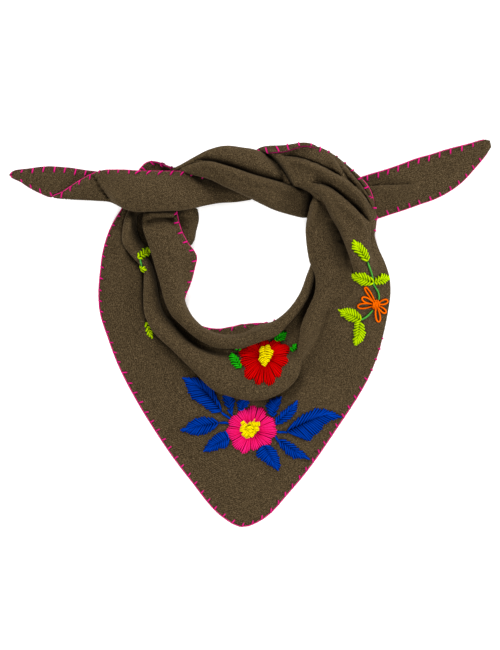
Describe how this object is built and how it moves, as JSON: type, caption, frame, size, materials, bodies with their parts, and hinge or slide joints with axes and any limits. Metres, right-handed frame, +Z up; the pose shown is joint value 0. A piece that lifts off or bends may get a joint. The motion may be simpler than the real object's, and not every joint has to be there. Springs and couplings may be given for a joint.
{
  "type": "felted wool triangle scarf",
  "caption": "Triangular wool scarf tied in a half knot and laid flat, with a stitched bunch of flowers and leaves on its front panel.",
  "frame": {"origin": "centre of the bounding box in plan, on the surface the scarf lies on", "axes": "+Z up from that surface, +Y from the front point of the triangle towards the knot, +X towards the tail that leaves the knot on the right as seen from above"},
  "size_m": [0.4818, 0.3857, 0.0371],
  "materials": {
    "wool": "felted, matt",
    "thread_pink": "satin thread",
    "thread_red": "satin thread",
    "thread_yellow": "knotted thread",
    "thread_blue": "satin thread",
    "thread_green": "satin thread",
    "thread_lime": "satin thread",
    "thread_stem": "twisted thread",
    "thread_orange": "satin thread"
  },
  "bodies": {
    "root": {"scarf_cloth": "wool", "flower_pink_center": "thread_yellow", "flower_pink_petals": "thread_pink", "leaf_blue_upper_left": "thread_blue", "leaf_blue_left": "thread_blue", "leaf_blue_lower_left": "thread_blue", "leaf_blue_top_left": "thread_blue", "leaf_blue_top": "thread_blue", "leaf_blue_top_right": "thread_blue", "leaf_blue_right_up": "thread_blue", "leaf_blue_right": "thread_blue", "leaf_blue_right_low": "thread_blue", "leaf_blue_bottom": "thread_blue", "stem_blue_upper_left": "thread_blue", "stem_blue_left": "thread_blue", "stem_blue_top_left": "thread_blue", "stem_blue_right": "thread_blue", "stem_blue_right_low": "thread_blue", "flower_red_center": "thread_yellow", "flower_red_petals": "thread_red", "leaf_green_left": "thread_green", "leaf_green_left_small": "thread_green", "leaf_green_top": "thread_green", "leaf_green_right": "thread_green", "daisy": "thread_orange", "leaf_lime_top": "thread_lime", "leaf_lime_middle_left": "thread_lime", "leaf_lime_middle_right": "thread_lime", "leaf_lime_low_left": "thread_lime", "leaf_lime_low": "thread_lime", "stem_green_upper": "thread_stem", "stem_green_lower": "thread_stem", "leaf_lime_shoulder": "thread_lime", "leaf_lime_side": "thread_lime"}
  },
  "joints": []
}
